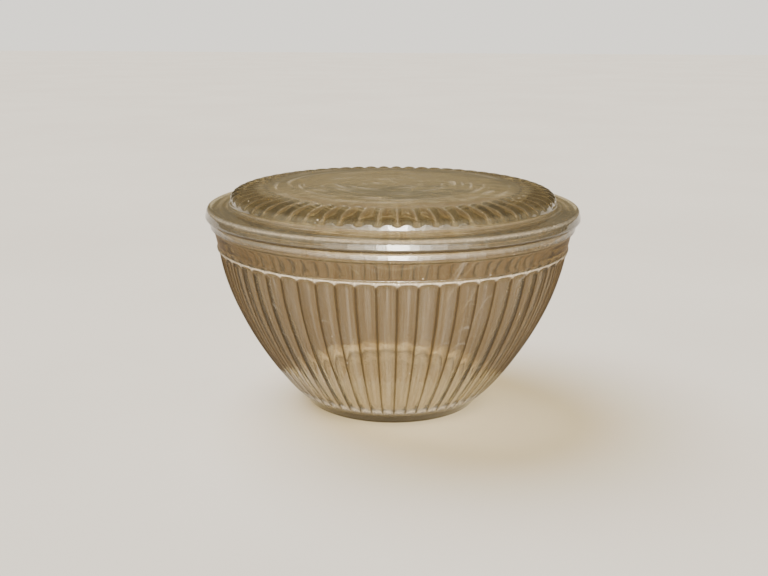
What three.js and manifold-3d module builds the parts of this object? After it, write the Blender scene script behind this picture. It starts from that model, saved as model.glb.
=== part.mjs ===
// Pressed-glass mixing bowl with a loose domed glass lid, in millimetres, +Z up.
// The origin is the centre of the bowl's resting face, and +Z is the axis that both pieces are round about.
import * as THREE from 'three'
import { mergeVertices } from 'three/addons/utils/BufferGeometryUtils.js'
import Module from 'manifold-3d'

const wasm = await Module()
wasm.setup()

// ---- shared sizes ----
const FLUTE_COUNT = 60          // flutes around the bowl, and ribs around the lid
const FACETS_PER_FLUTE = 3
const OUTSIDE_SEGMENTS = FLUTE_COUNT * FACETS_PER_FLUTE
const INSIDE_SEGMENTS = 60      // the smooth insides need fewer facets
const RESTING_GAP = 0.3         // clearance between the lid and the rim it rests on

// ---- bowl ----
const BOWL_HEIGHT = 122.5
const FOOT_FACE_RADIUS = 55.5   // outer radius of the flat ring that the bowl stands on
const FOOT_RADIUS = 57          // widest part of the foot's lower edge
const FOOT_EDGE = 1.5           // height of the eased lower edge
const RECESS_RADIUS = 48        // shallow recess under the base
const RECESS_DEPTH = 0.8
const FLUTES_START = new THREE.Vector2(62.5, 7.5)      // top of the smooth foot, radius and height
const FLUTES_END = new THREE.Vector2(112, 103.3)       // underside of the bead, radius and height
const WALL_PULL_LOW = new THREE.Vector2(72.2, 15.7)    // the wall leaves the foot towards this point
const WALL_PULL_HIGH = new THREE.Vector2(106.5, 59.8)  // and reaches the bead from this one
const FLUTE_DEPTH_TO_PITCH = 0.15
const FLUTE_RUN_OUT = 4         // length over which a flute fades in at either end
const WALL_THICKNESS = 5.8      // measured square to the wall, on a ridge between two flutes
const FLOOR_HEIGHT = 7
const BEAD_HEIGHT = 0.9         // how far the bead stands out from the wall
const BEAD_WIDTH = 2.4
const BAND_TOP = new THREE.Vector2(114.6, 115.5)       // top of the smooth band, under the rim
const RIM_RADIUS = 117
const RIM_ROUND = 3.25          // the rim is a half round of this radius
const MOUTH_RADIUS = RIM_RADIUS - 2 * RIM_ROUND

// ---- lid ----
const LID_SEAT = BOWL_HEIGHT + RESTING_GAP
const BRIM_RADIUS = 120
const BRIM_THICKNESS = 7
const BRIM_EDGE = 3.2           // radial depth of the rounded brim edge
const BRIM_RISE = 1             // the brim's top climbs this much towards the dome
const DOME_RADIUS = 104
const DOME_BASE = LID_SEAT + BRIM_THICKNESS + 0.7
const DOME_RISE = 12.5
const DOME_SQUARENESS = 4.5     // exponent of the dome's superellipse: 2 is an ellipse, more is boxier
const DOME_THICKNESS = 4.8
const RIB_DEPTH = 1.4           // depth of the valleys between the dome's ribs
const RIBS_FADE_FROM = 98       // the ribs fade out on top of the dome between these radii
const RIBS_FADE_TO = 82
const RIB_FOOT = 2.2            // height over which the ribs fade in above the brim
const RING_RADIUS = 107.8       // the ring under the lid that keeps it on the bowl
const RING_WIDTH = 5
const RING_DROP = 3
const RING_EASE = 0.8          // eased corner at the ring's lower edge

const CUT_PAST = 10             // how far a cutting solid runs past the face that it opens

const clamp01 = (value) => Math.min(Math.max(value, 0), 1)
const smooth = (value) => clamp01(value) ** 2 * (3 - 2 * clamp01(value))

// Across one flute, 0 on both ridges and 1 in the middle.
function scoop(angle) {
  const turns = (angle / (2 * Math.PI)) * FLUTE_COUNT
  const across = turns - Math.floor(turns + 1e-6)
  return 1 - (2 * across - 1) ** 2
}

// A closed round body about +Z from an outline of radius and height, starting and ending on the axis.
function turned(outline, segments) {
  return new THREE.LatheGeometry(outline, segments).rotateX(Math.PI / 2)
}

// Moves each point of a round body inward and down by what `carve` asks for at its radius, height and angle.
function carved(geometry, carve) {
  const position = geometry.getAttribute('position')
  const point = new THREE.Vector3()
  for (let i = 0; i < position.count; i++) {
    point.fromBufferAttribute(position, i)
    const radius = Math.hypot(point.x, point.y)
    if (radius < 1) continue
    const angle = Math.atan2(point.x, -point.y)
    const cut = carve(radius, point.z, angle)
    const scale = (radius - cut.inward) / radius
    position.setXYZ(i, point.x * scale, point.y * scale, point.z - cut.down)
  }
  return geometry
}

function toSolid(geometry) {
  const bare = geometry.clone()
  bare.deleteAttribute('normal')
  bare.deleteAttribute('uv')
  const merged = mergeVertices(bare, 1e-4)
  const vertProperties = new Float32Array(merged.getAttribute('position').array)
  const triVerts = new Uint32Array(merged.getIndex().array)
  return new wasm.Manifold(new wasm.Mesh({ numProp: 3, vertProperties, triVerts }))
}

function toGeometry(solid) {
  const mesh = solid.getMesh()
  const geometry = new THREE.BufferGeometry()
  geometry.setAttribute('position', new THREE.BufferAttribute(mesh.vertProperties, 3))
  geometry.setIndex(new THREE.BufferAttribute(mesh.triVerts, 1))
  geometry.computeVertexNormals()
  return geometry
}

// ---- bowl ----

// Points up the fluted wall, moved in by `inset`. They crowd together at both ends, where the flutes run out.
function wallPoints(inset, steps) {
  const wall = new THREE.CubicBezierCurve(FLUTES_START, WALL_PULL_LOW, WALL_PULL_HIGH, FLUTES_END)
  const points = []
  for (let i = 0; i <= steps; i++) {
    const along = 0.5 - 0.5 * Math.cos((Math.PI * i) / steps)
    const tangent = wall.getTangent(along)
    const inward = new THREE.Vector2(-tangent.y, tangent.x)
    points.push(wall.getPoint(along).addScaledVector(inward, inset))
  }
  return points
}

function bowlOutside() {
  const rimCentre = new THREE.Vector2(RIM_RADIUS - RIM_ROUND, BOWL_HEIGHT - RIM_ROUND)
  const rim = new THREE.EllipseCurve(rimCentre.x, rimCentre.y, RIM_ROUND, RIM_ROUND, 0, Math.PI / 2)
  return [
    new THREE.Vector2(0, RECESS_DEPTH),
    new THREE.Vector2(RECESS_RADIUS - RECESS_DEPTH, RECESS_DEPTH),
    new THREE.Vector2(RECESS_RADIUS, 0),
    new THREE.Vector2(FOOT_FACE_RADIUS, 0),
    new THREE.Vector2(FOOT_RADIUS, FOOT_EDGE),
    new THREE.Vector2(FLUTES_START.x - 0.6, FLUTES_START.y - 0.8),
    ...wallPoints(0, 7),
    new THREE.Vector2(FLUTES_END.x + BEAD_HEIGHT, FLUTES_END.y + BEAD_WIDTH / 2),
    new THREE.Vector2(FLUTES_END.x + 0.4, FLUTES_END.y + BEAD_WIDTH),
    BAND_TOP,
    new THREE.Vector2(RIM_RADIUS, BAND_TOP.y + 1.8),
    ...rim.getPoints(2),
    new THREE.Vector2(0, BOWL_HEIGHT),
  ]
}

function bowlInside() {
  const wall = wallPoints(WALL_THICKNESS, 8).slice(1)
  return [
    new THREE.Vector2(0, FLOOR_HEIGHT),
    new THREE.Vector2(wall[0].x - 18, FLOOR_HEIGHT),
    new THREE.Vector2(wall[0].x - 9, FLOOR_HEIGHT + 1.6),
    ...wall,
    new THREE.Vector2(MOUTH_RADIUS, BOWL_HEIGHT - RIM_ROUND),
    new THREE.Vector2(MOUTH_RADIUS + 0.6, BOWL_HEIGHT - 1.4),
    new THREE.Vector2(MOUTH_RADIUS + 2, BOWL_HEIGHT),
    new THREE.Vector2(MOUTH_RADIUS + 2, BOWL_HEIGHT + CUT_PAST),
    new THREE.Vector2(0, BOWL_HEIGHT + CUT_PAST),
  ]
}

function fluteCut(radius, height, angle) {
  const pitch = (2 * Math.PI * radius) / FLUTE_COUNT
  const fromFoot = smooth((height - FLUTES_START.y) / FLUTE_RUN_OUT)
  const fromBead = smooth((FLUTES_END.y - height) / FLUTE_RUN_OUT)
  return { inward: FLUTE_DEPTH_TO_PITCH * pitch * fromFoot * fromBead * scoop(angle), down: 0 }
}

function bowlGeometry() {
  const outside = toSolid(carved(turned(bowlOutside(), OUTSIDE_SEGMENTS), fluteCut))
  const inside = toSolid(turned(bowlInside(), INSIDE_SEGMENTS))
  return toGeometry(outside.subtract(inside))
}

// ---- lid ----

// A quarter of a superellipse, from its widest point up to the axis.
function domeProfile(radius, base, rise, steps) {
  const power = 2 / DOME_SQUARENESS
  const points = []
  for (let i = 0; i <= steps; i++) {
    const angle = (Math.PI / 2) * (i / steps)
    const out = i === steps ? 0 : radius * Math.cos(angle) ** power
    points.push(new THREE.Vector2(out, base + rise * Math.sin(angle) ** power))
  }
  return points
}

function lidOutside() {
  const edgeHeight = BRIM_THICKNESS / 2
  const edgeCentre = new THREE.Vector2(BRIM_RADIUS - BRIM_EDGE, LID_SEAT + edgeHeight)
  const edge = new THREE.EllipseCurve(
    edgeCentre.x, edgeCentre.y, BRIM_EDGE, edgeHeight, -Math.PI / 2, Math.PI / 2)
  const brimInner = new THREE.Vector2(DOME_RADIUS + 2, LID_SEAT + BRIM_THICKNESS + BRIM_RISE)
  return [
    new THREE.Vector2(0, LID_SEAT),
    ...edge.getPoints(4),
    brimInner,
    ...domeProfile(DOME_RADIUS, DOME_BASE, DOME_RISE, 7).slice(1),
  ]
}

function ribCut(radius, height, angle) {
  const acrossTop = smooth((radius - RIBS_FADE_TO) / (RIBS_FADE_FROM - RIBS_FADE_TO))
  const upSide = smooth((height - DOME_BASE - 0.3) / RIB_FOOT)
  const depth = RIB_DEPTH * acrossTop * upSide * (1 - scoop(angle))
  const onTop = clamp01((height - DOME_BASE) / DOME_RISE) ** (DOME_SQUARENESS - 1) / DOME_RISE
  const onSide = clamp01(radius / DOME_RADIUS) ** (DOME_SQUARENESS - 1) / DOME_RADIUS
  const length = Math.hypot(onTop, onSide)
  return { inward: (depth * onSide) / length, down: (depth * onTop) / length }
}

const HOLLOW_RADIUS = DOME_RADIUS - DOME_THICKNESS
const HOLLOW_BASE = LID_SEAT + 1.5
const HOLLOW_TOP = DOME_BASE + DOME_RISE - DOME_THICKNESS

function lidHollow() {
  const ringInner = RING_RADIUS - RING_WIDTH
  return [
    new THREE.Vector2(0, LID_SEAT - CUT_PAST),
    new THREE.Vector2(ringInner, LID_SEAT - CUT_PAST),
    new THREE.Vector2(ringInner, LID_SEAT - 1),
    ...domeProfile(HOLLOW_RADIUS, HOLLOW_BASE, HOLLOW_TOP - HOLLOW_BASE, 6),
  ]
}

// The locating ring starts wider than it ends up: the hollow is cut through it too.
function locatingRing() {
  const bottom = LID_SEAT - RING_DROP
  const top = LID_SEAT + 1
  const inner = HOLLOW_RADIUS - RING_WIDTH
  return [
    new THREE.Vector2(inner, top),
    new THREE.Vector2(inner, bottom),
    new THREE.Vector2(RING_RADIUS - RING_EASE, bottom),
    new THREE.Vector2(RING_RADIUS, bottom + RING_EASE),
    new THREE.Vector2(RING_RADIUS, top),
    new THREE.Vector2(inner, top),
  ]
}

function lidGeometry() {
  const top = toSolid(carved(turned(lidOutside(), OUTSIDE_SEGMENTS), ribCut))
  const ring = toSolid(turned(locatingRing(), INSIDE_SEGMENTS))
  const hollow = toSolid(turned(lidHollow(), INSIDE_SEGMENTS))
  return toGeometry(top.add(ring).subtract(hollow))
}

// ---- the object ----

function clearGlass() {
  return new THREE.MeshStandardMaterial({ color: 0xb9b49c, roughness: 0.12, metalness: 0 })
}

function piece(name, geometry) {
  const mesh = new THREE.Mesh(geometry, clearGlass())
  mesh.name = name
  return mesh
}

const group = new THREE.Group()
group.add(piece('bowl', bowlGeometry()))
group.add(piece('lid', lidGeometry()))

export default group
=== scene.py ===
"""Covered glass mixing bowl: fine glass bodies around the CAD frame, in metres."""

import math

import bpy
import numpy as np
from mathutils import Euler, Matrix, Vector


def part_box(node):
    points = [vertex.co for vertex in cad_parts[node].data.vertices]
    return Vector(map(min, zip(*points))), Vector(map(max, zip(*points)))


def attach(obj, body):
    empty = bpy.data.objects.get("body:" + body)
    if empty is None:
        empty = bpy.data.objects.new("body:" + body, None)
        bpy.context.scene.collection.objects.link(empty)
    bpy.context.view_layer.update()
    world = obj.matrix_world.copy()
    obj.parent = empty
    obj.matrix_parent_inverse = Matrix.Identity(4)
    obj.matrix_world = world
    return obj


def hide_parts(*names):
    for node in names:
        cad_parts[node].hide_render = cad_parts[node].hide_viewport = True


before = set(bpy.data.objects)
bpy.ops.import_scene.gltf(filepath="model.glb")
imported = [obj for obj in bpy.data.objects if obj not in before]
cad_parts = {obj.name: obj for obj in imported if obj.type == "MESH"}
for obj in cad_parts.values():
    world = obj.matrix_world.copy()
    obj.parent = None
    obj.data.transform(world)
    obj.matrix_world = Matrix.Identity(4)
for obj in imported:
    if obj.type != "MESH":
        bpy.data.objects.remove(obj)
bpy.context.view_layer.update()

MM = 0.001
bowl_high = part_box("bowl")[1]
lid_low, lid_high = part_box("lid")

# ---- sizes shared by both pieces, in metres ----
FLUTES = 60                      # flutes round the bowl, and ribs round the lid
COLUMNS_PER_FLUTE = 10
COLUMNS = FLUTES * COLUMNS_PER_FLUTE

# ---- bowl ----
BOWL_HEIGHT = bowl_high.z
RIM_RADIUS = bowl_high.x
RIM_ROUND = 3.25 * MM
RIM_DRAFT = 1.0 * MM                       # how far the rim's outer face leans in towards its top
RIM_STEP = 2.0 * MM                        # height of the slope from the band out to the rim
RIM_CAP = 4.2 * MM                         # height of the rim's top part, which counts as inside
MOUTH_RADIUS = RIM_RADIUS - 2 * RIM_ROUND
WALL_LOW = (62.5 * MM, 7.5 * MM)           # radius and height where the flutes start, over the foot
WALL_PULL_LOW = (72.2 * MM, 15.7 * MM)
WALL_PULL_HIGH = (106.5 * MM, 59.8 * MM)
WALL_HIGH = (112.0 * MM, 103.3 * MM)       # and where they end, under the bead
WALL_STEPS = 32
WALL_THICKNESS = 5.8 * MM
FLOOR_HEIGHT = 7.0 * MM
FLOOR_EDGE = 9.0 * MM                      # how far the inner floor's rounded edge reaches inwards
FOOT_FACE_RADIUS = 56.0 * MM
FOOT_RADIUS = 57.0 * MM
FOOT_EDGE_HEIGHT = 1.5 * MM
RECESS_RADIUS = 48.0 * MM
RECESS_DEPTH = 0.8 * MM
FLUTE_DEPTH_TO_PITCH = 0.15
FLUTE_RUN_OUT = 3.4 * MM
FLUTE_ARCH = 2.6 * MM                      # a flute's end reaches this much further in its middle
FLUTE_END = FLUTE_RUN_OUT + FLUTE_ARCH     # height of the wall that a flute's end takes
BEAD_HEIGHT = 0.9 * MM
BEAD_WIDTH = 1.5 * MM
BEAD_LEAN = 0.4 * MM                       # how far the outline moves out over the bead's width
BEAD_ARCH = 1.6 * MM                       # the bead dips this much between two flutes
BEAD_TOP = WALL_HIGH[1] + BEAD_WIDTH
BAND_TOP = (114.6 * MM, 115.5 * MM)

# ---- lid ----
BRIM_RADIUS = lid_high.x
LID_TOP = lid_high.z
RING_DROP = 3.0 * MM
LID_SEAT = lid_low.z + RING_DROP
BRIM_THICKNESS = 7.0 * MM
BRIM_TOP = LID_SEAT + BRIM_THICKNESS
BRIM_EDGE = 3.2 * MM                       # width of the brim's rounded edge, under it
BRIM_DRAFT = 1.5 * MM                      # how far the brim's edge leans in towards its top
BRIM_OVERSHOOT = 0.2 * MM                  # how far the edge's lower corner stands out before it is rounded
BRIM_RISE = 1.0 * MM
DOME_RADIUS = 104.0 * MM
DOME_BASE = BRIM_TOP + 0.7 * MM            # height of the dome's widest point
DOME_RISE = LID_TOP - DOME_BASE
DOME_SQUARENESS = 4.5
DOME_STEPS = 56
DOME_CROWDING = 1.8                        # above 1, the outline's points crowd towards the dome's foot
DOME_THICKNESS = 4.8 * MM
DOME_DRAFT = 8.0                           # degrees that the foot of the dome's side leans in
RIB_DEPTH = 1.4 * MM
RIBS_INNER = 79.0 * MM                     # radius where the ribs end on top
RIB_END = 6.0 * MM                         # length over which they rise to full height
RIB_END_ARCH = 3.0 * MM
RIB_START = 2.6 * MM                       # the dome's foot is smooth below this
RIB_FOOT = 4.5 * MM                        # height over which the valleys between them deepen
MIDDLE_FALL = 1.9 * MM                     # the smooth middle falls this much from its centre to the ribs
RING_RADIUS = 107.8 * MM
RING_WIDTH = 5.0 * MM
HOLLOW_RADIUS = DOME_RADIUS - DOME_THICKNESS
HOLLOW_BASE = LID_SEAT + 1.5 * MM          # height where the hollow under the dome is widest
HOLLOW_TOP = LID_TOP - DOME_THICKNESS
HOLLOW_STEPS = 26

# ---- where dust, wear, painted shade and painted highlights sit on the glass, in metres ----
# Middles of marks: painted shade in the crease under the rim, on the rim's top and in the seam under the
# lid's brim; pale wear with painted highlights at the flute ends, the rim, the brim's edge and the rib
# feet.
FLUTE_END_WEAR_AND_HIGHLIGHT = WALL_LOW[1] + 3.5 * MM    # heights, each of a mark's middle
CREASE_SHADE = BAND_TOP[1] + 0.4 * MM
RIM_WEAR_AND_HIGHLIGHT = BOWL_HEIGHT - 2.4 * MM
RIM_TOP_SHADE = BOWL_HEIGHT - 0.5 * MM
SEAM_SHADE = LID_SEAT + 0.7 * MM
BRIM_EDGE_WEAR_AND_HIGHLIGHT = BRIM_TOP - 1.2 * MM
RIB_FOOT_DUST_AND_HIGHLIGHT = DOME_BASE + 1.0 * MM
# The foot's painted shade ends at the first height, the inner floor's pale wear and painted light at the
# second, and the dome side's painted olive shade starts above the third.
FOOT_TOP = WALL_LOW[1] + 1.0 * MM          # heights where a mark that covers a whole area ends
FLOOR_WEAR_AND_LIGHT_TOP = FLOOR_HEIGHT + 4.0 * MM
SHADED_SIDE_LOW = DOME_BASE + 4.0 * MM
RIM_INNER = RIM_RADIUS - 4.0 * MM          # radii that a mark stays outside
SEAM_INNER = 112.0 * MM
BRIM_OUTER = 116.0 * MM
BRIM_FACE = BRIM_RADIUS - 2.5 * MM
DOME_SHOULDER = 84.0 * MM
DOME_FOOT_OUTER = DOME_RADIUS + 3.0 * MM   # and the radius that the dome's foot stays inside

# ---- camera, in metres and degrees ----
CAMERA_DISTANCE = 651.5 * MM               # from the bowl's axis, along the floor
CAMERA_HEIGHT = 242.2 * MM
CAMERA_SIDE = -5.4 * MM
CAMERA_PITCH = 14.59
CAMERA_ROLL = 0.36
CAMERA_AZIMUTH = -0.99                     # turned so that the flutes face the camera as they should
CAMERA_LENS = 47.8                         # millimetres, as CAMERA_SENSOR
CAMERA_SENSOR = 36

# ---- floor, light and surroundings, in metres, degrees and watts ----
FLOOR_HALF_WIDTH = 8.0
FLOOR_COLOURS = ((0.76, 0.72, 0.66), (0.8, 0.76, 0.7))
SOFTBOX_PLACE = (0.02, -0.8, 0.25)
SOFTBOX_TARGET = (0, 0, BOWL_HEIGHT * 0.6)
SOFTBOX_HEIGHT = 0.2
SOFTBOX_COLOUR = (1, 0.95, 0.87)
SOFTBOXES = (                              # width and power: nested, so that their glare fades sideways
    (0.16, 8), (0.3, 6), (0.5, 4), (0.8, 4), (1.3, 3), (2.0, 2),
)
SKY_STRENGTH = 6.5                         # watts to the square metre
SKY_WIDTH = 50                             # degrees across: a very soft sun
SKY_TILT = (-20, -25, 0)
SKY_COLOUR = (1, 0.97, 0.93)
WORLD_SEEN = (1.5, 1.43, 1.3)              # what the camera sees of it
WORLD_MIRRORED = (0.285, 0.232, 0.135)     # and what the glass reflects and refracts
CARDS_LOW_RADIUS = 89 * MM
CARDS_HIGH_RADIUS = 131 * MM
CARDS_HEIGHT = 107 * MM
CARDS_SIDES = 64
CARDS_COLOUR = (0.42, 0.305, 0.2)

# ---- patterns on the glass, in cells to the metre where no comment says otherwise ----
PATCHES = 22.0
GRAIN = 900.0
CRUMBS = 90.0
RIPPLES = 45.0
RIPPLE_DEPTH = 0.6 * MM                    # how high the bumps stand, in metres
GRAIN_DEPTH = 0.05 * MM
SCRATCH_CELLS = (14, 900, 14)              # along X, Y and Z: long and thin
SCRATCH_TURNS = (25, -50)                  # degrees about Z
STREAKS_AROUND = 75.0                      # cells to the radius of a circle round the axis
STREAKS_FADE = (30 * MM, 70 * MM)          # radii where the streaks are gone, and where they are whole
SWIRLS_AROUND = 1.6                        # cells to the radius, as above
SWIRLS_OUT = 320.0
LEVEL = (0.93, 0.99)                       # upward part of the normal where swirls start and are full

# ---- colours of the glass, and of what lies on it ----
BOWL_CLEAR = (0.94, 0.905, 0.825)
LID_CLEAR = (0.95, 0.925, 0.79)
INSIDE = (0.74, 0.68, 0.44)
INSIDE_DENSITY = 100.0
LAMP_LIGHT = (0.94, 0.925, 0.9)            # what a lamp's light keeps at each surface
STAIN = (0.68, 0.58, 0.42)
# painted shade: this olive darkens the foot, the band, the flanks of the ridges, the brim's face and the
# dome's steep side
PAINTED_SHADE_OLIVE = (0.24, 0.2, 0.12)
DUST = (0.4, 0.3, 0.18)
# painted shade: this near-black marks dark lines along the ridges, in the crease under the rim, on the
# rim's top, over the foot and in the seam under the lid's brim
PAINTED_SHADE_DARK = (0.06, 0.04, 0.018)
# pale wear, crumbs and scratches, and also painted highlights along the bead, the rim, the brim's edge, the
# flute ends and the rib feet, and painted light on the inner floor
SCUFF_AND_HIGHLIGHT = (0.8, 0.69, 0.52)
BOWL_FILM = 0.06                           # share of the light that the dust takes where it lies thickest
LID_FILM = 0.1


# ---------------------------------------------------------------- outlines

def bezier(p0, p1, p2, p3, steps):
    """Points on a cubic curve, and its direction at each."""
    points, directions = [], []
    for t in np.linspace(0, 1, steps + 1):
        s = 1 - t
        point = [s**3 * a + 3 * s * s * t * b + 3 * s * t * t * c + t**3 * d
                 for a, b, c, d in zip(p0, p1, p2, p3)]
        slope = [s * s * (b - a) + 2 * s * t * (c - b) + t * t * (d - c)
                 for a, b, c, d in zip(p0, p1, p2, p3)]
        length = math.hypot(*slope)
        points.append(tuple(point))
        directions.append((slope[0] / length, slope[1] / length))
    return points, directions


def eased(corners, steps=5):
    """An outline through (radius, height, ease) corners, each cut back by its ease and rounded."""
    points = []
    for i, (r, z, ease) in enumerate(corners):
        if ease == 0 or i in (0, len(corners) - 1):
            points.append((r, z))
            continue
        here = Vector((r, z))
        before = Vector(corners[i - 1][:2]) - here
        after = Vector(corners[i + 1][:2]) - here
        start = here + before.normalized() * ease
        end = here + after.normalized() * ease
        for t in np.linspace(0, 1, steps + 1):
            points.append(tuple((1 - t) ** 2 * start + 2 * t * (1 - t) * here + t * t * end))
    return points


def spaced(points, gap):
    """The same outline with extra points, so that none are further apart than gap."""
    result = [points[0]]
    for a, b in zip(points, points[1:]):
        count = max(1, math.ceil(math.dist(a, b) / gap))
        for i in range(1, count + 1):
            t = i / count
            result.append((a[0] + (b[0] - a[0]) * t, a[1] + (b[1] - a[1]) * t))
    return result


def superellipse(radius, base, rise, steps):
    """A quarter of a superellipse, from its widest point up to the axis, closest together at its foot."""
    power = 2 / DOME_SQUARENESS
    points = []
    for t in np.linspace(0, 1, steps + 1):
        angle = math.pi / 2 * t**DOME_CROWDING
        out = radius * max(math.cos(angle), 0) ** power
        points.append((out, base + rise * math.sin(angle) ** power))
    points[-1] = (0, base + rise)
    return points


# ---------------------------------------------------------------- round bodies

def ramp(value):
    """0 below 0, 1 above 1, and a smooth rise between."""
    t = np.clip(value, 0, 1)
    return t * t * (3 - 2 * t)


def near(value, middle, width):
    """1 where value is middle, falling off to nearly 0 over width on both sides."""
    return np.exp(-4 * ((value - middle) / width) ** 2)


def sharp_line(across):
    """1 along the lines between flutes, or between ribs, and 0 from the second column away from them."""
    return np.clip(1.35 - (1 - np.abs(across)) * COLUMNS_PER_FLUTE / 2, 0, 1)


def round_body(name, outline, carved_rows, carve):
    """A closed body about Z from an outline that starts and ends on the axis.

    carve(radius, height, across, carved) moves the surface. across is -1 and 1 on the two ridges beside
    a flute and 0 in its middle, and carved is 1 on carved_rows and 0 elsewhere. It returns the new radius
    and height, and marks from 0 to 1, kept as point attributes for the material: how dusty each point is,
    and how much painted dark shade, painted olive shade, and pale wear with painted highlights it gets.
    """
    rings = np.array(outline[1:-1])
    radius = np.repeat(rings[:, :1], COLUMNS, axis=1)
    height = np.repeat(rings[:, 1:], COLUMNS, axis=1)
    across = 2 * (np.arange(COLUMNS) % COLUMNS_PER_FLUTE) / COLUMNS_PER_FLUTE - 1
    carved = np.zeros((len(rings), 1))
    carved[carved_rows] = 1
    radius, height, marks = carve(radius, height, across[None, :], carved)
    angle = 2 * math.pi * np.arange(COLUMNS) / COLUMNS
    points = np.stack([radius * np.sin(angle), -radius * np.cos(angle), height], axis=-1).reshape(-1, 3)
    poles = np.array([(0, 0, outline[0][1]), (0, 0, outline[-1][1])])

    column = np.arange(COLUMNS)
    following = (column + 1) % COLUMNS
    faces = []
    for low in range(0, (len(rings) - 1) * COLUMNS, COLUMNS):
        high = low + COLUMNS
        faces += np.stack([low + column, low + following, high + following, high + column], -1).tolist()
    first_pole, last_pole = len(points), len(points) + 1
    last_ring = len(points) - COLUMNS
    for a, b in zip(column.tolist(), following.tolist()):
        faces.append([first_pole, b, a])
        faces.append([last_pole, last_ring + a, last_ring + b])

    mesh = bpy.data.meshes.new(name)
    mesh.from_pydata(np.concatenate([points, poles]).tolist(), [], faces)
    mesh.shade_smooth()
    for mark, amount in marks.items():
        amount = np.broadcast_to(amount, radius.shape)
        values = np.concatenate([amount.reshape(-1), [amount[0, 0], amount[-1, 0]]])
        mesh.attributes.new(mark, "FLOAT", "POINT").data.foreach_set("value", values.astype(np.float32))
    mesh.update()
    body = bpy.data.objects.new(name, mesh)
    bpy.context.scene.collection.objects.link(body)
    return body


# ---------------------------------------------------------------- bowl

def bowl_foot():
    points = eased([
        (0, RECESS_DEPTH, 0),
        (RECESS_RADIUS - RECESS_DEPTH, RECESS_DEPTH, 0.6 * MM),
        (RECESS_RADIUS, 0, 0.4 * MM),
        (FOOT_FACE_RADIUS, 0, 0.9 * MM),
        (FOOT_RADIUS, FOOT_EDGE_HEIGHT, 0.6 * MM),
        (*WALL_LOW, 0),
    ])
    return spaced(points[:2], 12 * MM)[:-1] + spaced(points[1:], 3 * MM)


def bowl_wall():
    """The outer wall's outline on the ridges, and the inner wall's, both from the foot up."""
    wall, directions = bezier(WALL_LOW, WALL_PULL_LOW, WALL_PULL_HIGH, WALL_HIGH, WALL_STEPS)
    inner = [(r - up * WALL_THICKNESS, z + out * WALL_THICKNESS)
             for (r, z), (out, up) in zip(wall, directions)]
    low = [point for point in wall if point[1] < WALL_LOW[1] + FLUTE_END]
    high = [point for point in wall if point[1] > WALL_HIGH[1] - FLUTE_END]
    middle = wall[len(low) - 1:len(wall) - len(high) + 1]
    return spaced(low, 0.7 * MM) + spaced(middle, 4 * MM)[1:-1] + spaced(high, 0.6 * MM), inner


def bowl_outline():
    """The bowl's outline from under its foot, up the outside, over the rim and down the inside to the
    floor, and how many of its points are outside."""
    wall, inner = bowl_wall()
    bead_end = (WALL_HIGH[0] + BEAD_LEAN, BEAD_TOP)
    bead = spaced([WALL_HIGH, bead_end], 0.2 * MM)
    band = spaced(eased([
        (*bead_end, 0),
        (*BAND_TOP, 0.8 * MM),
        (RIM_RADIUS, BAND_TOP[1] + RIM_STEP, 0.8 * MM),
        (RIM_RADIUS - RIM_DRAFT, BOWL_HEIGHT, 1.9 * MM),
        (MOUTH_RADIUS + RIM_DRAFT, BOWL_HEIGHT, 2.2 * MM),
        (MOUTH_RADIUS, BOWL_HEIGHT - RIM_ROUND, 0),
    ]), 2 * MM)
    rim = [point for point in band if point[1] > BOWL_HEIGHT - RIM_CAP]
    band = band[:len(band) - len(rim)]
    outside = bowl_foot() + wall[1:] + bead[1:] + band[1:]
    mouth = spaced([rim[-1], inner[-1]], 4 * MM)[1:-1]
    floor = eased([
        (*inner[0], 0),
        (inner[0][0] - FLOOR_EDGE, FLOOR_HEIGHT, 8 * MM),
        (0, FLOOR_HEIGHT, 0),
    ], steps=10)[1:]
    floor = floor[:-1] + spaced(floor[-2:], 8 * MM)[1:]
    return outside + rim + mouth + inner[::-2] + floor, len(outside)


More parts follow.
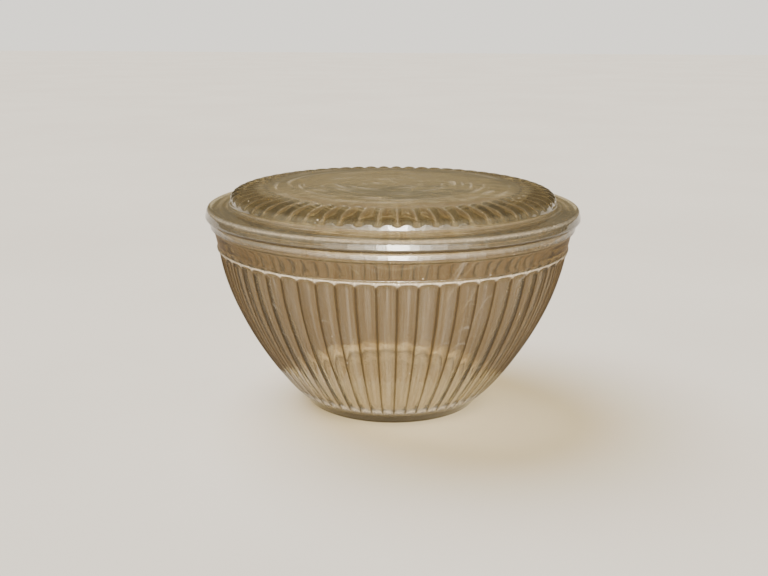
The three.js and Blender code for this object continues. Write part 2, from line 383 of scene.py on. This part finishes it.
def carve_flutes(radius, height, across, carved):
    """Scoops the flutes out of the wall, raises the scalloped bead over them, and marks where the glass
    gets dust, painted shade, and pale wear with painted highlights.
    """
    pitch = 2 * math.pi * radius / FLUTES
    arch = FLUTE_ARCH * across**2
    from_foot = ramp((height - WALL_LOW[1] - arch) / FLUTE_RUN_OUT)
    from_bead = ramp((WALL_HIGH[1] - arch - height) / FLUTE_RUN_OUT)
    groove = carved * (1 - across**2) * from_foot * from_bead
    bead_half = (BEAD_WIDTH + BEAD_ARCH * across**4) / 2
    from_middle = (height - BEAD_TOP + bead_half) / bead_half
    bead = carved * np.sqrt(np.clip(1 - from_middle**2, 0, 1))

    above_foot = ramp((height - WALL_LOW[1]) / FLUTE_RUN_OUT)
    below_bead = ramp((WALL_HIGH[1] - height) / FLUTE_RUN_OUT)
    ridge = carved * above_foot * below_bead * sharp_line(across)
    ridge_side = carved * above_foot * below_bead * across**4
    flute_end = carved * near(height, FLUTE_END_WEAR_AND_HIGHLIGHT, 4 * MM) * (1 - 0.7 * across**2)
    groove_middle = groove * near(across, 0.1, 0.35)
    rim = near(height, RIM_WEAR_AND_HIGHLIGHT, 2.5 * MM)
    outer_side = ramp((radius - WALL_HIGH[0]) / (1 * MM))
    crease = near(height, CREASE_SHADE, 1.6 * MM) * outer_side
    rim_outer_half = ramp((radius - RIM_INNER) / (1 * MM))
    rim_top = near(height, RIM_TOP_SHADE, 1.6 * MM) * rim_outer_half
    band = carved * ramp((height - BEAD_TOP) / (1 * MM)) * ramp((BAND_TOP[1] - height) / (1 * MM))
    foot = carved * ramp((FOOT_TOP - height) / (2 * MM))
    inner_floor = (1 - carved) * ramp((FLOOR_WEAR_AND_LIGHT_TOP - height) / (3 * MM))
    # Painted shade: dark lines along the ridges, in the crease under the rim, on the rim's top and over the
    # foot, and olive over the foot, the band and the ridges' flanks. Pale wear with painted highlights on
    # the bead, the flute ends and the rim; painted light on the inner floor and a painted highlight down
    # each flute's middle.
    marks = {
        "dust": 0.6 + 0.4 * groove - 0.3 * ridge,
        "painted_dark_shade": np.maximum.reduce([ridge, 0.8 * crease, 0.8 * rim_top, 0.75 * foot]),
        "painted_olive_shade": np.maximum.reduce([0.7 * foot, 0.2 * band, 0.3 * ridge_side]),
        "wear_and_highlight": np.maximum.reduce([0.75 * bead**2, 0.6 * flute_end, 0.22 * rim, 0.55 * inner_floor,
                                   0.12 * groove_middle]),
    }
    return radius - FLUTE_DEPTH_TO_PITCH * pitch * groove + BEAD_HEIGHT * bead, height, marks


def make_bowl():
    outline, outside = bowl_outline()
    return round_body("bowl_glass_body", outline, slice(0, outside - 1), carve_flutes)


# ---------------------------------------------------------------- lid

def lid_underside():
    """The lid's outline from the axis under its dome out to where the brim's edge starts."""
    hollow = superellipse(HOLLOW_RADIUS, HOLLOW_BASE, HOLLOW_TOP - HOLLOW_BASE, HOLLOW_STEPS)[::-1]
    ring_inner = RING_RADIUS - RING_WIDTH
    ring_bottom = LID_SEAT - RING_DROP
    ring = eased([
        (*hollow[-1], 0),
        (ring_inner, LID_SEAT - 1 * MM, 0.8 * MM),
        (ring_inner, ring_bottom, 0.9 * MM),
        (RING_RADIUS, ring_bottom, 0.9 * MM),
        (RING_RADIUS, LID_SEAT, 0.6 * MM),
        (BRIM_RADIUS - BRIM_EDGE, LID_SEAT, 0),
    ])
    crown = spaced(hollow[:2], 8 * MM)
    return crown + hollow[2:] + spaced(ring, 3 * MM)[1:]


def dome_normal(radius, height):
    """The outward and upward share of the dome's normal at a point on its side, not yet of length 1."""
    out = np.clip(radius / DOME_RADIUS, 0, 1) ** (DOME_SQUARENESS - 1) / DOME_RADIUS
    up = np.clip((height - DOME_BASE) / DOME_RISE, 0, 1) ** (DOME_SQUARENESS - 1) / DOME_RISE
    return out, up


def lid_top():
    """The lid's outline along the brim's edge, and from there over the brim and the dome to the axis."""
    edge = spaced(eased([
        (BRIM_RADIUS - BRIM_EDGE, LID_SEAT, 0),
        (BRIM_RADIUS + BRIM_OVERSHOOT, LID_SEAT, 1.8 * MM),
        (BRIM_RADIUS - BRIM_DRAFT, BRIM_TOP, 2.2 * MM),
        (BRIM_RADIUS - BRIM_DRAFT - 3 * MM, BRIM_TOP, 0),
    ]), 1 * MM)
    lean = math.tan(math.radians(DOME_DRAFT))
    side = []
    for point in superellipse(DOME_RADIUS, DOME_BASE, DOME_RISE, DOME_STEPS):
        out, up = dome_normal(*point)
        if up > lean * out:
            side.append(point)
    foot_height = BRIM_TOP + BRIM_RISE
    foot_radius = side[0][0] + (side[0][1] - foot_height) * lean
    brim = spaced(eased([
        (*edge[-1], 0),
        (foot_radius, foot_height, 1.5 * MM),
        (*side[0], 0),
    ]), 1 * MM)
    crown = spaced(side[-2:], 6 * MM)[1:]
    ribbed = [point for point in side if point[0] > RIBS_INNER - 2 * MM]
    smooth = side[len(ribbed) - 1:-1]
    return edge[1:], brim[1:] + spaced(ribbed, 1.5 * MM)[1:] + spaced(smooth, 5 * MM)[1:] + crown


def carve_ribs(radius, height, across, carved):
    """Cuts the valleys between the ribs, square to the dome's surface, sinks the middle below the ribs,
    and marks where the glass gets dust, painted shade, and pale wear with painted highlights."""
    up_side = ramp((height - DOME_BASE - RIB_START) / RIB_FOOT)
    rib_end = RIBS_INNER + RIB_END_ARCH * across**2
    on_top = ramp((radius - rib_end) / RIB_END)
    groove = carved * across**2 * up_side * on_top
    out, up = dome_normal(radius, height)
    depth = RIB_DEPTH * groove / (np.hypot(out, up) + 1e-9)
    middle = LID_TOP - MIDDLE_FALL * (radius / RIBS_INNER) ** 2
    sunk = carved * (1 - on_top) * np.maximum(height - middle, 0)

    valley = carved * sharp_line(across) * up_side * on_top
    on_dome = ramp((DOME_FOOT_OUTER - radius) / (2 * MM))
    rib_feet = carved * near(height, RIB_FOOT_DUST_AND_HIGHLIGHT, 1.5 * MM) * on_dome
    edge_line = near(height, BRIM_EDGE_WEAR_AND_HIGHLIGHT, 2 * MM) * ramp((radius - BRIM_OUTER) / (2 * MM))
    edge_face = ramp((radius - BRIM_FACE) / (1.5 * MM))
    seam = near(height, SEAM_SHADE, 1.6 * MM) * ramp((radius - SEAM_INNER) / (2 * MM))
    steep = ramp((radius - DOME_SHOULDER) / (8 * MM)) * ramp((height - SHADED_SIDE_LOW) / (3 * MM))
    side = carved * up_side * steep
    # Painted shade: dark in the seam under the brim, and olive on the dome's steep side and the brim's
    # face. Pale wear with painted highlights along the brim's top edge, its face and the rib feet; pale
    # dust in the valleys.
    marks = {
        "dust": 0.6 + np.maximum(0.2 * valley, 0.4 * rib_feet),
        "painted_dark_shade": 0.8 * seam,
        "painted_olive_shade": np.maximum(0.85 * side, 0.4 * edge_face),
        "wear_and_highlight": np.maximum.reduce([0.2 * valley, 0.14 * rib_feet, 0.4 * edge_line, 0.12 * edge_face]),
    }
    return radius - depth * out, height - sunk - depth * up, marks


def make_lid():
    under = lid_underside()
    edge, top = lid_top()
    smooth_rows = len(under) + len(edge) - 1
    outline = under + edge + top
    return round_body("lid_glass_body", outline, slice(smooth_rows, len(outline) - 2), carve_ribs)


# ---------------------------------------------------------------- nodes

def material(name):
    made = bpy.data.materials.new(name)
    made.use_nodes = True
    made.node_tree.nodes.clear()
    return made, made.node_tree


def feed(tree, socket, value):
    """Links a node's output to the socket, or sets the socket to a number or a colour."""
    if isinstance(value, bpy.types.NodeSocket):
        tree.links.new(value, socket)
    else:
        socket.default_value = value


def node(tree, kind, **inputs):
    """A node of that kind, with its sockets set to numbers or linked to other nodes' outputs."""
    made = tree.nodes.new(kind)
    for key, value in inputs.items():
        feed(tree, made.inputs[key.replace("_", " ")], value)
    return made


def math_node(tree, operation, *values, clamp=False):
    made = tree.nodes.new("ShaderNodeMath")
    made.operation = operation
    made.use_clamp = clamp
    for socket, value in zip(made.inputs, values):
        feed(tree, socket, value)
    return made.outputs[0]


def product(tree, *factors, clamp=False):
    """All the factors multiplied together."""
    result = factors[0]
    for factor in factors[1:]:
        result = math_node(tree, "MULTIPLY", result, factor, clamp=clamp)
    return result


def largest(tree, *values):
    result = values[0]
    for value in values[1:]:
        result = math_node(tree, "MAXIMUM", result, value)
    return result


def mapped(tree, value, low, high, to_low=0.0, to_high=1.0):
    """value with the range low to high stretched, smoothly, to the range to_low to to_high."""
    made = tree.nodes.new("ShaderNodeMapRange")
    made.interpolation_type = "SMOOTHSTEP"
    tree.links.new(value, made.inputs["Value"])
    made.inputs["From Min"].default_value = low
    made.inputs["From Max"].default_value = high
    made.inputs["To Min"].default_value = to_low
    made.inputs["To Max"].default_value = to_high
    return made.outputs["Result"]


def noise(tree, place, scale, detail):
    made = node(tree, "ShaderNodeTexNoise", Vector=place, Scale=scale, Detail=detail, Roughness=0.55)
    return made.outputs["Fac"]


def blend_colour(tree, share, first, second):
    """first where share is 0 and second where it is 1; each is a colour or another node's output."""
    made = tree.nodes.new("ShaderNodeMix")
    made.data_type = "RGBA"
    tree.links.new(share, made.inputs["Factor"])
    for socket, colour in ((made.inputs[6], first), (made.inputs[7], second)):
        feed(tree, socket, (*colour, 1) if isinstance(colour, tuple) else colour)
    return made.outputs[2]


def attribute(tree, name):
    made = tree.nodes.new("ShaderNodeAttribute")
    made.attribute_name = name
    return made.outputs["Fac"]


# ---------------------------------------------------------------- patterns on the glass

def scratches(tree, place, turn):
    """Thin broken lines: a stretched noise, turned about Z, kept only where it is highest."""
    turned = node(tree, "ShaderNodeMapping", Vector=place)
    turned.inputs["Rotation"].default_value = (0, 0, math.radians(turn))
    turned.inputs["Scale"].default_value = SCRATCH_CELLS
    lines = noise(tree, turned.outputs["Vector"], 1.0, 2.0)
    return mapped(tree, lines, 0.66, 0.72)


def round_axis(tree, place):
    """The distance from the axis, the direction from it as x and y on a circle of radius 1, and height."""
    split = node(tree, "ShaderNodeSeparateXYZ", Vector=place)
    x, y, z = (split.outputs[axis] for axis in "XYZ")
    out = math_node(tree, "SQRT", math_node(tree, "ADD", product(tree, x, x), product(tree, y, y)))
    out = math_node(tree, "MAXIMUM", out, 1 * MM)
    return out, math_node(tree, "DIVIDE", x, out), math_node(tree, "DIVIDE", y, out), z


def streaks(tree, place):
    """Noise that runs up the wall and out along the lid's ribs, about eight streaks to a flute, and fades
    away near the axis, where the streaks would meet."""
    out, x, y, z = round_axis(tree, place)
    around = node(tree, "ShaderNodeCombineXYZ", X=x, Y=y, Z=product(tree, z, 0.25))
    lines = mapped(tree, noise(tree, around.outputs["Vector"], STREAKS_AROUND, 2.0), 0.35, 0.65)
    return product(tree, lines, mapped(tree, out, *STREAKS_FADE))


def swirls(tree, place):
    """Faint broken circles round the axis, as an old mould leaves on level glass, pale enough to stand in
    for painted reflection streaks there.
    """
    out, x, y, _ = round_axis(tree, place)
    rings = product(tree, out, SWIRLS_OUT / SWIRLS_AROUND)
    around = node(tree, "ShaderNodeCombineXYZ", X=x, Y=y, Z=rings)
    return mapped(tree, noise(tree, around.outputs["Vector"], SWIRLS_AROUND, 2.0), 0.5, 0.8)


def specks(tree, place):
    """Small light crumbs of dust, about one to the square centimetre."""
    cells = node(tree, "ShaderNodeTexVoronoi", Vector=place, Scale=CRUMBS)
    return mapped(tree, cells.outputs["Distance"], 0.045, 0.02)


def dust_share(tree, place, upward, grain, film):
    """How much dust hides the glass: in patches and grains, and most on what faces up."""
    patches = mapped(tree, noise(tree, place, PATCHES, 5.0), 0.3, 0.7, 0.65, 1.0)
    settled = mapped(tree, upward, -0.2, 1.0, 0.8, 1.0)
    return product(tree, patches, grain, settled, attribute(tree, "dust"), film)


def scuff_and_sheen_share(tree, place, upward, grain, lines):
    """How much wear and painted highlight make the glass white and dull: worn places and painted
    highlights, crumbs, scratches, and swirls that are partly painted reflection streaks.
    """
    wear_and_highlight = product(tree, attribute(tree, "wear_and_highlight"), grain)
    level = mapped(tree, upward, *LEVEL, 0.0, 0.4)
    most = largest(tree, wear_and_highlight, specks(tree, place), product(tree, lines, 0.1),
                   product(tree, level, swirls(tree, place)))
    return product(tree, most, 0.7)


def glass_colour(tree, place, grain, dust, scuff_and_sheen, painted_shade, clear_colour):
    """Clear glass, streaked, darkened olive by painted shade, under dust, pale wear with painted
    highlights, and dark painted shade.
    """
    colour = blend_colour(tree, product(tree, streaks(tree, place), grain), clear_colour, STAIN)
    colour = blend_colour(tree, attribute(tree, "painted_olive_shade"), colour, PAINTED_SHADE_OLIVE)
    colour = blend_colour(tree, product(tree, dust, 3.0, clamp=True), colour, DUST)
    colour = blend_colour(tree, product(tree, scuff_and_sheen, 3.0, clamp=True), colour, SCUFF_AND_HIGHLIGHT)
    return blend_colour(tree, mapped(tree, painted_shade, 0.4, 0.8), colour, PAINTED_SHADE_DARK)


def uneven_surface(tree, place, grain, lines):
    """The normal of a surface with wide ripples from the mould, and with fine grain and scratches."""
    ripple = noise(tree, place, RIPPLES, 2.0)
    rippled = node(tree, "ShaderNodeBump", Height=ripple, Strength=0.35, Distance=RIPPLE_DEPTH)
    fine = math_node(tree, "SUBTRACT", product(tree, grain, 0.4), lines)
    return node(tree, "ShaderNodeBump", Height=fine, Strength=0.1, Distance=GRAIN_DEPTH,
                Normal=rippled.outputs["Normal"]).outputs["Normal"]


def pressed_glass(name, film, clear_colour):
    """Old pressed glass: rippled, with painted olive and dark shade, filmed with dust, scuffed and lit by
    painted highlights, and finely scratched.

    film is how much of the surface's light the dust takes where it lies thickest, from 0 to 1.
    """
    made, tree = material(name)
    place = tree.nodes.new("ShaderNodeTexCoord").outputs["Object"]
    facing = tree.nodes.new("ShaderNodeNewGeometry").outputs["Normal"]
    upward = node(tree, "ShaderNodeSeparateXYZ", Vector=facing).outputs["Z"]
    grain = mapped(tree, noise(tree, place, GRAIN, 2.0), 0.3, 0.7, 0.45, 1.0)
    lines = largest(tree, *(scratches(tree, place, turn) for turn in SCRATCH_TURNS))
    dust = dust_share(tree, place, upward, grain, film)
    scuff_and_sheen = scuff_and_sheen_share(tree, place, upward, grain, lines)
    painted_shade = attribute(tree, "painted_dark_shade")

    # where the painted dark shade is strongest the glass also turns dull and less clear
    haze = largest(tree, dust, scuff_and_sheen, mapped(tree, painted_shade, 0.6, 1.0, 0.0, 0.6))
    glass = node(tree, "ShaderNodeBsdfPrincipled",
                 Base_Color=glass_colour(tree, place, grain, dust, scuff_and_sheen, painted_shade, clear_colour),
                 Roughness=math_node(tree, "MULTIPLY_ADD", haze, 0.2, 0.03),
                 Transmission_Weight=math_node(tree, "SUBTRACT", 1.0, haze, clamp=True),
                 Normal=uneven_surface(tree, place, grain, lines), IOR=1.5)
    lamp_light = node(tree, "ShaderNodeBsdfTransparent", Color=(*LAMP_LIGHT, 1))
    either = tree.nodes.new("ShaderNodeMixShader")
    rays = tree.nodes.new("ShaderNodeLightPath")
    tree.links.new(rays.outputs["Is Shadow Ray"], either.inputs["Fac"])
    tree.links.new(glass.outputs["BSDF"], either.inputs[1])
    tree.links.new(lamp_light.outputs["BSDF"], either.inputs[2])
    inside = node(tree, "ShaderNodeVolumeAbsorption", Color=(*INSIDE, 1), Density=INSIDE_DENSITY)
    node(tree, "ShaderNodeOutputMaterial", Surface=either.outputs["Shader"],
         Volume=inside.outputs["Volume"])
    return made


# ---------------------------------------------------------------- surroundings

def pale_floor():
    made, tree = material("pale_floor")
    place = tree.nodes.new("ShaderNodeTexCoord").outputs["Object"]
    cloud = mapped(tree, noise(tree, place, 3.0, 4.0), 0.3, 0.7)
    surface = node(tree, "ShaderNodeBsdfPrincipled", Base_Color=blend_colour(tree, cloud, *FLOOR_COLOURS),
                   Roughness=0.8, Specular_IOR_Level=0.1)
    node(tree, "ShaderNodeOutputMaterial", Surface=surface.outputs["BSDF"])
    return made


def make_floor():
    mesh = bpy.data.meshes.new("studio_floor")
    corners = [(x * FLOOR_HALF_WIDTH, y * FLOOR_HALF_WIDTH, 0)
               for x, y in ((-1, -1), (1, -1), (1, 1), (-1, 1))]
    mesh.from_pydata(corners, [], [(0, 1, 2, 3)])
    mesh.materials.append(pale_floor())
    floor = bpy.data.objects.new("studio_floor", mesh)
    bpy.context.scene.collection.objects.link(floor)


def brown_card():
    made, tree = material("brown_card")
    # a fixed glowing brown that no lamp lights: painted dark surroundings for the glass to reflect and
    # refract
    shade = node(tree, "ShaderNodeEmission", Color=(*CARDS_COLOUR, 1))
    node(tree, "ShaderNodeOutputMaterial", Surface=shade.outputs["Emission"])
    return made


def make_dark_cards():
    """A ring of low brown cards leaning outwards round the bowl, which only the glass sees: they darken it
    where a glass on a pale floor would have no tone."""
    turns = [2 * math.pi * i / CARDS_SIDES for i in range(CARDS_SIDES)]
    points = [(radius * math.cos(a), radius * math.sin(a), z)
              for radius, z in ((CARDS_LOW_RADIUS, 0), (CARDS_HIGH_RADIUS, CARDS_HEIGHT))
              for a in turns]
    faces = []
    for i in range(CARDS_SIDES):
        after = (i + 1) % CARDS_SIDES
        faces.append((i, after, CARDS_SIDES + after, CARDS_SIDES + i))
    mesh = bpy.data.meshes.new("dark_cards")
    mesh.from_pydata(points, [], faces)
    mesh.materials.append(brown_card())
    cards = bpy.data.objects.new("dark_cards", mesh)
    cards.visible_camera = cards.visible_diffuse = cards.visible_shadow = False
    bpy.context.scene.collection.objects.link(cards)


def make_softboxes(glass):
    """Softboxes in front of the bowl that light only the glass, not the floor."""
    receivers = bpy.data.collections.new("lit_by_softboxes")
    for piece in glass:
        receivers.objects.link(piece)
    aim = (Vector(SOFTBOX_TARGET) - Vector(SOFTBOX_PLACE)).to_track_quat("-Z", "Y").to_euler()
    for width, power in SOFTBOXES:
        lamp = bpy.data.lights.new("front_softbox", "AREA")
        lamp.shape = "RECTANGLE"
        lamp.size, lamp.size_y = width, SOFTBOX_HEIGHT
        lamp.energy = power
        lamp.color = SOFTBOX_COLOUR
        light = bpy.data.objects.new("front_softbox", lamp)
        light.location = SOFTBOX_PLACE
        light.rotation_euler = aim
        light.visible_camera = False
        light.light_linking.receiver_collection = receivers
        bpy.context.scene.collection.objects.link(light)


def make_sky_light():
    """A wide soft light from high on the left, the same all over the floor."""
    lamp = bpy.data.lights.new("ceiling_light", "SUN")
    lamp.angle = math.radians(SKY_WIDTH)
    lamp.energy = SKY_STRENGTH
    lamp.color = SKY_COLOUR
    light = bpy.data.objects.new("ceiling_light", lamp)
    light.visible_glossy = False
    light.visible_transmission = False
    light.rotation_euler = [math.radians(turn) for turn in SKY_TILT]
    bpy.context.scene.collection.objects.link(light)


def make_world():
    """To the camera it is pale like the floor; what the glass reflects and refracts is a dim warm room."""
    world = bpy.data.worlds.new("studio_world")
    world.use_nodes = True
    tree = world.node_tree
    seen = tree.nodes.new("ShaderNodeLightPath").outputs["Is Camera Ray"]
    colour = blend_colour(tree, seen, WORLD_MIRRORED, WORLD_SEEN)
    tree.links.new(colour, tree.nodes["Background"].inputs["Color"])
    bpy.context.scene.world = world


def make_camera():
    data = bpy.data.cameras.new("camera")
    data.sensor_width = CAMERA_SENSOR
    data.lens = CAMERA_LENS
    data.clip_start, data.clip_end = 0.01, 50
    camera = bpy.data.objects.new("camera", data)
    place = Matrix.Translation((CAMERA_SIDE, -CAMERA_DISTANCE, CAMERA_HEIGHT))
    aim = Euler((math.radians(90 - CAMERA_PITCH), 0, 0)).to_matrix().to_4x4()
    roll = Matrix.Rotation(math.radians(CAMERA_ROLL), 4, "Z")
    turn = Matrix.Rotation(math.radians(CAMERA_AZIMUTH), 4, "Z")
    camera.matrix_world = turn @ place @ aim @ roll
    bpy.context.scene.collection.objects.link(camera)
    bpy.context.scene.camera = camera


# ---------------------------------------------------------------- the scene

make_camera()
make_floor()

bowl = make_bowl()
bowl.data.materials.append(pressed_glass("bowl_pressed_glass", BOWL_FILM, BOWL_CLEAR))
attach(bowl, "bowl")
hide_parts("bowl")

lid = make_lid()
lid.data.materials.append(pressed_glass("lid_pressed_glass", LID_FILM, LID_CLEAR))
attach(lid, "lid")
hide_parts("lid")

make_softboxes((bowl, lid))
make_dark_cards()
make_sky_light()
make_world()
